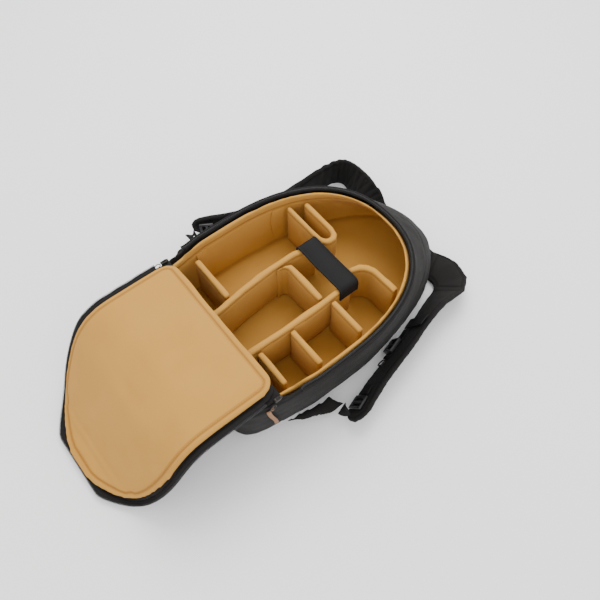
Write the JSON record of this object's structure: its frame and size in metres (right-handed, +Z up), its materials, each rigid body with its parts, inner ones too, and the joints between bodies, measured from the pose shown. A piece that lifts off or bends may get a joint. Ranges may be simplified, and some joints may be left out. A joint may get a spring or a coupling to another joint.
{
  "type": "camera backpack",
  "caption": "Padded black camera backpack on its back with its front flap folded down, showing tan lining, movable tan dividers, shoulder straps and zipper pulls.",
  "frame": {"origin": "on the floor, under the middle of the back panel", "axes": "+Y along the bag to its top end, +X to its near side, +Z up from the back panel to the opening"},
  "size_m": [0.5046, 0.7384, 0.1591],
  "materials": {
    "black_nylon": "matt woven nylon",
    "black_mesh": "matt padded mesh",
    "tan_tricot": "brushed padded lining",
    "black_webbing": "ribbed woven tape",
    "black_plastic": "moulded, lightly textured",
    "dark_metal": "dark plated",
    "brown_leather": "smooth with worn edges"
  },
  "bodies": {
    "root": {"back_pad": "black_mesh", "outer_shell": "black_nylon", "padded_lining": "tan_tricot", "front_sill": "black_nylon", "opening_zipper_tape": "black_webbing", "opening_zipper_teeth": "black_plastic", "flap_shell": "black_nylon", "flap_pad": "tan_tricot", "flap_zipper_tape": "black_webbing", "long_divider_far": "tan_tricot", "long_divider_near": "tan_tricot", "cross_divider_far_low": "tan_tricot", "cross_divider_middle": "tan_tricot", "cross_divider_near_low": "tan_tricot", "cross_divider_near_mid": "tan_tricot", "cross_divider_near_high": "tan_tricot", "folded_divider": "tan_tricot", "bent_divider": "tan_tricot", "cradle_strap": "black_webbing", "shoulder_strap_far": "black_nylon", "shoulder_strap_near": "black_nylon", "ladder_lock_far": "black_plastic", "ladder_lock_near": "black_plastic", "lock_tab_far": "black_webbing", "lock_tab_near": "black_webbing", "anchor_wing_far": "black_nylon", "anchor_wing_near": "black_nylon", "adjuster_webbing_far": "black_webbing", "adjuster_webbing_near": "black_webbing", "chest_strap_band": "black_webbing", "chest_webbing": "black_webbing", "chest_buckle": "black_plastic", "chest_ring": "dark_metal", "zipper_slider_far": "dark_metal", "zipper_slider_near": "dark_metal", "pull_ring_far": "dark_metal", "pull_ring_near": "dark_metal", "pull_strip_far": "brown_leather", "pull_strip_near": "brown_leather"}
  },
  "joints": []
}
